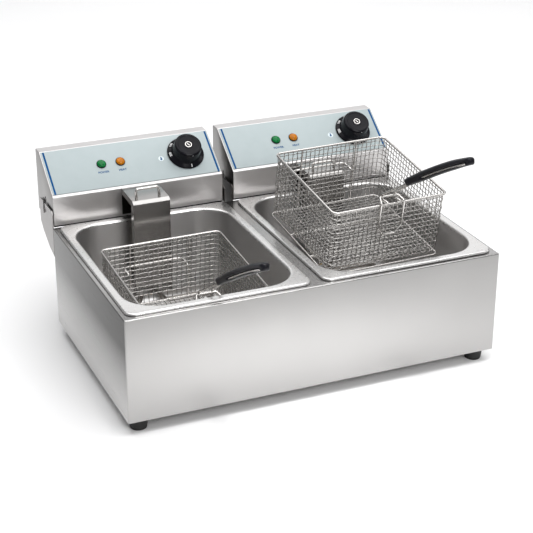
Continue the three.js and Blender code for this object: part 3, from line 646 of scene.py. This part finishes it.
def figures(text, size, matrix, name):
    """A thin raised text, centred on its place. The matrix is in millimetres."""
    curve = bpy.data.curves.new(name, "FONT")
    curve.body = text
    curve.size = size / 1000
    curve.align_x = "CENTER"
    curve.extrude = TEXT_THICK
    curve.offset = TEXT_WEIGHT
    made = bpy.data.objects.new(name, curve)
    bpy.context.scene.collection.objects.link(made)
    graph = bpy.context.evaluated_depsgraph_get()
    mesh = bpy.data.meshes.new_from_object(made.evaluated_get(graph))
    bpy.data.objects.remove(made)
    mesh.transform(TO_ROW @ matrix @ Matrix.Scale(1000, 4))
    piece = bpy.data.objects.new(name, mesh)
    bpy.context.scene.collection.objects.link(piece)
    return piece


# the temperatures on a knob's skirt, and where they stand round it, in degrees
DIAL_NUMBERS = (("50", -28), ("100", 12), ("150", 52), ("200", 92))


def knob(name, side):
    """A knob with a numbered skirt and a metal ring on its top."""
    def around(degrees):
        return place @ Matrix.Rotation(math.radians(degrees), 4, "Z")

    def tipped(degrees):
        return Matrix.Rotation(math.radians(degrees), 4, "X")

    place = on_panel(side, KNOB_X, KNOB_UP)
    body = f"knob_{name}"
    profile = [
        (AXIS, 2.4), (8, 2.4), (26, 2.2), (28.8, 2.0), (28.8, 3.0), (28.2, 4.0), (23.4, 7.0), (22.2, 8.4),
        (21.0, 22.8), (20.2, 24.8), (18.4, 25.8), (16.6, 25.8), (15.6, 25.3), (7.6, 24.8), (7.0, 25.3),
        (AXIS, 25.4),
    ]
    form = turned(Shape(), arc_profile(profile, 0.5, 3), 72, place)
    settle(object_of(f"dial_{name}", form), BLACK, body, [f"knob_{name}"])

    disc = turned(Shape(), [(4.2, 25.3), (4.2, 25.75), (5.3, 25.75), (5.3, 25.3)], 40, place)
    box(disc, (-0.65, -2.6, 25.35), (0.65, 2.6, 25.7), around(35))
    settle(object_of(f"dial_ring_{name}", disc), WIRE_STEEL, body)

    # the pointer's stroke on the skirt, and the one on the edge of the top
    marks, tick, lying = Shape(), around(-176), tipped(-32)
    on_skirt = tick @ Matrix.Translation((0, 25.6, 5.75)) @ lying
    on_top = tick @ Matrix.Translation((0, 20.95, 21.5)) @ tipped(-85)
    box(marks, (-0.6, -2.1, -0.05), (0.6, 2.1, 0.1), on_skirt)
    box(marks, (-0.6, -2.2, -0.05), (0.6, 2.2, 0.1), on_top)
    settle(object_of(f"dial_marks_{name}", marks), DIAL_WHITE, body)
    for text, angle in DIAL_NUMBERS:
        spot = around(angle) @ Matrix.Translation((0, 23.9, 6.95)) @ lying
        piece = figures(text, 5.0, spot, f"dial_{text}_{name}")
        settle(piece, DIAL_WHITE, body, sharp=0)
    dress(f"knob_spindle_{name}", BRASS)


def element(name, side):
    """The heating element: a flat loop near the tank's floor, with two risers that turn into the head."""
    x0, level, top = side * HEAD_X, 40, 195
    loop = [(16, 302), (90, 302), (90, 46), (55, 46), (55, 252), (20, 252), (20, 46)]
    right = [(16, 361, top), (16, 302, top), *[(x, y, level) for x, y in loop]]
    route = rounded([(x0 + x, y, z) for x, y, z in [*right, *mirrored(right)]], 13)
    piece = object_of(f"heater_{name}", tube(Shape(), route, 3.95, 16))
    settle(piece, ELEMENT_STEEL, f"head_{name}", [f"heating_element_{name}"], 60)


def guard(name, side):
    """The folded cover over the risers, with two cheeks and a wire staple on its top."""
    x0, half, low, face_y = side * HEAD_X, 28.5, 64, 283.3
    rear = HEAD_FRONT - 0.3
    line = [(face_y, low), (face_y, 210.2), (288, 214.5), (rear, 217), (rear, 176)]
    sheet = fold(Shape(), line, x0 - half, x0 + half, 1.2)
    cheek = [
        (284, low), (294.3, low), (294.3, 206.2), (rear - 0.3, 208), (rear - 0.3, 216.5), (288.4, 213.8),
        (284, 209.6),
    ]
    for x in (x0 - half, x0 + half - SHEET):
        slab(sheet, cheek, x, x + SHEET)
    piece = object_of(f"guard_{name}", sheet)
    settle(piece, GUARD_STEEL, f"head_{name}", [f"element_guard_{name}"])
    # painted shade: the guard's faces that look back or down, and those near its rear, are painted near
    # black
    back = (TO_ROW @ Vector((0, rear - 3, 0))).y
    second(piece, PAINTED_SHADE_STEEL, lambda face: (
        face.normal.y > 0.5 or face.normal.z < -0.5 or face.center.y > back
    ))
    middle, reach, foot, crown = x0 - 3.3, 17.8, 215.1, 215.1 + 15.5
    staple = tube(Shape(), rounded([
        (middle - reach, 291, foot), (middle - reach, 293, crown),
        (middle + reach, 293, crown), (middle + reach, 291, foot),
    ], 4), 2.1, 16)
    piece = object_of(f"hanger_{name}", staple)
    settle(piece, WIRE_STEEL, f"head_{name}", [f"basket_hanger_{name}"], 60)


def head(name, side):
    housing(name, side)
    panel(name, side)
    lamp(name, side, "green", GREEN_LENS)
    lamp(name, side, "amber", AMBER_LENS)
    knob(name, side)
    element(name, side)
    guard(name, side)
    for node, material in (
        ("rear_cover", INNER_AND_PAINTED_SHADE_STEEL), ("thermostat", CERAMIC), ("thermostat_bulb", BRASS),
        ("limit_thermostat", BRASS), ("reset_button", RED), ("terminal_block", CERAMIC),
        ("cable_gland", BLACK), ("pivot_rod", BRACKET_STEEL),
    ):
        dress(f"{node}_{name}", material)


# ---------------------------------------------------------------- baskets
# a basket is drawn with the middle of its rim's rear at the origin, and its handle towards -y
MIDDLE = -BASKET_HALF_Y
MESH_INSET, MESH_BEND, MESH_SIDES = 1.2, 6.0, 5
MESH_FLOOR = -BASKET_DEEP + FRAME_WIRE + 1.4
MESH_WAVE = MESH_WIRE * 0.95
RING_DEPTHS = [-4.5 - MESH_PITCH * k for k in range(12)]
ACROSS = 24
WIRE_GAP = 0.3


def wall_point(side, s, z):
    """A place on the basket's wall: side 0 to 3 is rear, left, front, right, and s runs along it from -1
    to 1. Returns the point and the way out."""
    half_x, half_y = BASKET_HALF_X - MESH_INSET, BASKET_HALF_Y - MESH_INSET
    if side % 2:
        half_x, half_y = half_y, half_x
    r = BASKET_CORNER
    reach = half_x - r
    s = s * (reach + r * math.pi / 4)
    over = abs(s) - reach
    sign = math.copysign(1, s)
    if over <= 0:
        flat, out = Vector((s, half_y)), Vector((0, 1))
    else:
        turn = over / r
        out = Vector((sign * math.sin(turn), math.cos(turn)))
        flat = Vector((sign * reach, half_y - r)) + out * r
    for _ in range(side):
        flat, out = Vector((-flat.y, flat.x)), Vector((-out.y, out.x))
    return Vector((flat.x, MIDDLE + flat.y, z)), Vector((out.x, out.y, 0))


def weave():
    """The woven mesh: wires that go down one wall, over the floor and up the other, both ways, and
    wires round the walls, passing over and under each other."""
    cloth = Shape()
    shares = [(2 * i + 1) / ACROSS - 1 for i in range(ACROSS)]

    def wave(count):
        """A step to one side or the other, by turns."""
        return MESH_WAVE * (-1) ** count

    def down(side, share, index):
        """Points from the rim to the floor."""
        start, _ = wall_point(side, share, 0)
        points = [start]
        for k, z in enumerate(RING_DEPTHS):
            point, out = wall_point(side, share, z)
            points.append(point + out * wave(index + k))
        low, out = wall_point(side, share, MESH_FLOOR + MESH_BEND)
        turn = math.radians(45)
        drop = Vector((0, 0, MESH_BEND * math.sin(turn)))
        inward = low - out * MESH_BEND * (1 - math.cos(turn)) - drop
        normal = out * math.cos(turn) - Vector((0, 0, math.sin(turn)))
        points.append(inward + normal * wave(index + len(RING_DEPTHS)))
        return points

    def floor_places(half):
        return [share * (half - MESH_INSET - 2.5) for share in shares]

    xs, ys = floor_places(BASKET_HALF_X), floor_places(BASKET_HALF_Y)
    for i, share in enumerate(shares):
        rear, front = down(0, share, i), down(2, -share, i)
        middle = [Vector((xs[i], MIDDLE - y, MESH_FLOOR - wave(i + j))) for j, y in enumerate(ys)]
        tube(cloth, [*rear, *middle, *reversed(front)], MESH_WIRE, MESH_SIDES)
    for j, share in enumerate(shares):
        left, right = down(1, -share, j), down(3, share, j)
        middle = [Vector((x, MIDDLE - ys[j], MESH_FLOOR + wave(i + j))) for i, x in enumerate(xs)]
        tube(cloth, [*left, *middle, *reversed(right)], MESH_WIRE, MESH_SIDES)
    for k, z in enumerate(RING_DEPTHS):
        points = []
        for side in range(4):
            for i, share in enumerate(shares):
                point, out = wall_point(side, -share, z)
                points.append(point - out * wave(i + k))
        tube(cloth, points, MESH_WIRE, MESH_SIDES, closed=True)
    return cloth


def basket_wires():
    """The rim, the loop round the floor, two wires under it and two uprights at the rear."""
    wires = Shape()
    for z, radius in ((0, RIM_WIRE), (-BASKET_DEEP, FRAME_WIRE)):
        loop = rounded_rectangle(BASKET_HALF_X, BASKET_HALF_Y, BASKET_CORNER, z, MIDDLE, 10)
        tube(wires, loop, radius, 14, closed=True)
    for y in (-67, -131):
        tube(wires, [(-BASKET_HALF_X, y, -BASKET_DEEP), (BASKET_HALF_X, y, -BASKET_DEEP)], FRAME_WIRE)
    rear = FRAME_WIRE + WIRE_GAP
    for x in (-UPRIGHT_X, UPRIGHT_X):
        tube(wires, [(x, rear, 0), (x, rear, -BASKET_DEEP)], FRAME_WIRE)
    return wires


def hook_wire():
    front = 2 * (FRAME_WIRE + WIRE_GAP)
    right = [(UPRIGHT_X, HOOK_BACK, -HOOK_DOWN), (UPRIGHT_X, front, -HOOK_DOWN)]
    return tube(Shape(), rounded([*mirrored(right), *right], 9, steps=10), RIM_WIRE, 14)


# the bar that the handle folds about
BAR_Y, BAR_Z = 9.6 - 2 * BASKET_HALF_Y, 8.1


def bracket_wire():
    front = -2 * BASKET_HALF_Y - RIM_WIRE - FRAME_WIRE - WIRE_GAP
    right = [(9, front + 1, -48), (18.5, front, -34), (18.5, front, 4.6), (14.5, BAR_Y, BAR_Z)]
    route = rounded([*right, *mirrored(right)], 3.5, closed=True, steps=6)
    return tube(Shape(), route, FRAME_WIRE, closed=True)


GRIP_LENGTH = 171.0
GRIP_START_Y, GRIP_START_Z = -219.2, 53.4
GRIP_RISE, GRIP_DROOP = 39.5, 2.5
HANDLE_WIRE, HANDLE_HOOK_X, HANDLE_GRIP_X, HANDLE_DROP = 1.65, 10, 4.6, -3.4


def grip_point(distance, height):
    """A place (y, z) along the grip, whose rise eases off towards its end, at a height over its middle."""
    bend = GRIP_DROOP * (distance / GRIP_LENGTH) ** 2
    chord, slope = math.radians(GRIP_RISE - bend), math.radians(GRIP_RISE - 3 * bend)
    y = GRIP_START_Y - distance * math.cos(chord) + height * math.sin(slope)
    z = GRIP_START_Z + distance * math.sin(chord) + height * math.cos(slope)
    return y, z


def handle_wire():
    """The wire that is hooked round the bar with both ends and makes a loop in the grip."""
    hook = FRAME_WIRE + HANDLE_WIRE + 0.45
    route = [(HANDLE_HOOK_X, BAR_Y - 15.6, BAR_Z - 1.5)]
    for step in range(13):
        angle = math.radians(-102 + 156 * step / 12)
        route.append((HANDLE_HOOK_X, BAR_Y + hook * math.cos(angle), BAR_Z + hook * math.sin(angle)))
    end = GRIP_LENGTH - 12
    route += [(HANDLE_GRIP_X, *grip_point(end * k / 7, HANDLE_DROP)) for k in range(8)]
    turns = [math.radians(a) for a in range(15, 180, 15)]
    crown = [(HANDLE_GRIP_X * math.cos(a), *grip_point(end + 3 * math.sin(a), HANDLE_DROP)) for a in turns]
    return tube(Shape(), [*route, *crown, *mirrored(route)], HANDLE_WIRE)


# Half of the grip's section as (x, height), and the x of the same points where its side groove is open.
GRIP_HALF = [
    (0, 5.9), (3.0, 5.6), (5.6, 4.7), (7.2, 3.2), (7.9, 1.3), (7.9, -0.6), (7.7, -1.1), (7.6, -1.4),
    (7.5, -2.0), (7.1, -4.9), (7.0, -5.4), (6.8, -5.7), (6.5, -6.2), (5.5, -7.0), (3.0, -7.4), (0, -7.5),
]
GROOVE = {6: 7.3, 7: 3.6, 8: 2.9, 9: 2.9, 10: 3.6, 11: 6.4}
# The grip's rounded ends as (distance from the end, size).
GRIP_FIRST, GRIP_FIRST_SIZE = 4.0, 0.86
GRIP_FIRST_END = [(0, 0.55), (0.5, 0.7), (1.6, 0.8), (GRIP_FIRST, GRIP_FIRST_SIZE)]
GRIP_LAST_END = [(3.6, 0.75), (2.2, 0.66), (1.0, 0.5), (0.3, 0.34), (0, 0.2)]


def ease(value, start, end):
    """From 0 to 1 between start and end, smoothly."""
    t = min(max((value - start) / (end - start), 0), 1)
    return t * t * (3 - 2 * t)


def grip():
    steps = 44
    places = list(GRIP_FIRST_END)
    for k in range(1, steps + 1):
        distance = GRIP_FIRST + (GRIP_LENGTH - 9.0) * k / steps
        share = distance / GRIP_LENGTH
        size = GRIP_FIRST_SIZE + (1 - GRIP_FIRST_SIZE) * ease(share, 0.02, 0.3)
        places.append((distance, size * (1 - 0.19 * ease(share, 0.68, 0.98))))
    places += [(GRIP_LENGTH - back, size) for back, size in GRIP_LAST_END]
    rings = []
    for distance, size in places:
        share = distance / GRIP_LENGTH
        groove = ease(share, 0.27, 0.33) - ease(share, 0.925, 0.945)
        outline = [(x + groove * (GROOVE.get(i, x) - x), h) for i, (x, h) in enumerate(GRIP_HALF)]
        outline += [(-x, h) for x, h in reversed(outline[1:-1])]
        rings.append([(x * size, *grip_point(distance, h * size)) for x, h in outline])
    return loft(Shape(), rings)


def basket(name):
    x, y, z, tilt, turn, folded = BASKETS[name]
    place = (
        Matrix.Translation((x, y, z)) @ Matrix.Rotation(math.radians(turn), 4, "Z")
        @ Matrix.Rotation(math.radians(tilt), 4, "X")
    )
    bar = Matrix.Translation((0, BAR_Y, BAR_Z))
    lever = place @ bar @ Matrix.Rotation(math.radians(-folded), 4, "X") @ bar.inverted()
    body, handle = f"basket_{name}", f"handle_{name}"
    pieces = (
        ("woven_mesh", weave(), place, body, "basket_mesh", MESH_STEEL, 0),
        ("basket_wires", basket_wires(), place, body, "basket_frame", WIRE_STEEL, 60),
        ("hook_wire", hook_wire(), place, body, "basket_hook", WIRE_STEEL, 60),
        ("bracket_wire", bracket_wire(), place, body, "handle_bracket", WIRE_STEEL, 60),
        ("lever_wire", handle_wire(), lever, handle, "handle_wire", WIRE_STEEL, 60),
    )
    for title, shape, matrix, rides_on, node, steel, sharp in pieces:
        piece = object_of(f"{title}_{name}", shape, matrix)
        settle(piece, steel, rides_on, [f"{node}_{name}"], sharp)
    piece = object_of(f"grip_{name}", grip(), lever)
    settle(piece, GRIP_BLACK, handle, [f"handle_grip_{name}"], 40)


# ---------------------------------------------------------------- studio
def lit(name, light, place):
    """Puts a light in the scene."""
    holder = bpy.data.objects.new(name, light)
    holder.location = place
    bpy.context.scene.collection.objects.link(holder)
    return holder


def softbox(name, place, target, size_x, size_y, power):
    """A large rectangular light that looks at a target."""
    light = bpy.data.lights.new(name, "AREA")
    light.shape = "RECTANGLE"
    light.size, light.size_y = size_x, size_y
    light.energy = power
    holder = lit(name, light, place)
    holder.rotation_mode = "QUATERNION"
    holder.rotation_quaternion = (Vector(place) - Vector(target)).to_track_quat("Z", "Y")


def studio():
    """A white floor, soft light and the camera, which stands where the photograph was taken."""
    scene = bpy.context.scene
    scene.view_settings.view_transform = "Standard"
    scene.view_settings.look = "None"
    world = bpy.data.worlds.new("studio")
    world.use_nodes = True
    sky = world.node_tree.nodes["Background"]
    sky.inputs["Color"].default_value = (0.9, 0.9, 0.92, 1)
    sky.inputs["Strength"].default_value = 0.27
    scene.world = world

    floor = bpy.data.meshes.new("floor")
    reach = 9.0
    corners = [(-reach, -reach, 0), (reach, -reach, 0), (reach, reach, 0), (-reach, reach, 0)]
    floor.from_pydata(corners, [], [(0, 1, 2, 3)])
    ground = bpy.data.objects.new("floor", floor)
    scene.collection.objects.link(ground)
    m = Nodes("floor_white").set(Specular_IOR_Level=0.2)
    m.colours(m.noise(2), (0.93, 0.93, 0.93), (0.95, 0.95, 0.95))
    m.roughness(m.noise(2), 0.7, 0.8)
    floor.materials.append(m.material)

    softbox("softbox_top", (0.1, 0.2, 2.6), (0.1, 0.2, 0), 3.6, 3.6, 92)
    softbox("softbox_front", (0.3, -2.6, 1.9), (0, 0, 0.1), 1.6, 1.0, 30)
    softbox("softbox_right", (2.4, -0.4, 1.5), (0, 0, 0.1), 1.2, 1.6, 10)
    softbox("softbox_rear", (0.9, 3.0, 1.5), (0, 0, 0.2), 3.6, 1.8, 18)
    pool = bpy.data.lights.new("pool_front", "SPOT")
    pool.energy = 165
    pool.spot_size = math.radians(22)
    pool.spot_blend = 1.0
    pool.shadow_soft_size = 0.2
    lit("pool_front", pool, (0.03, -0.43, 2.3))

    camera = bpy.data.cameras.new("camera")
    camera.sensor_width = 36
    camera.lens = 97.38
    camera.clip_start = 0.1
    camera.clip_end = 60
    yaw, pitch, roll = math.radians(23.349), math.radians(24.167), 0.0035070
    ahead = Vector((math.sin(yaw) * math.cos(pitch), math.cos(yaw) * math.cos(pitch), -math.sin(pitch)))
    right = Vector((math.cos(yaw), -math.sin(yaw), 0))
    up = right.cross(ahead)
    cos, sin = math.cos(roll), math.sin(roll)
    right, up = cos * right + sin * up, cos * up - sin * right
    turn = Matrix((right, up, -ahead)).transposed().to_4x4()
    eye = bpy.data.objects.new("camera", camera)
    eye.matrix_world = Matrix.Translation(TO_ROW @ Vector((-769.6, -1594.5, 992.9))) @ turn
    scene.collection.objects.link(eye)
    scene.camera = eye


# ---------------------------------------------------------------- all of it
cabinet()
for side_name, side_sign in SIDES:
    tank(side_name, side_sign)
    head(side_name, side_sign)
    basket(side_name)
studio()
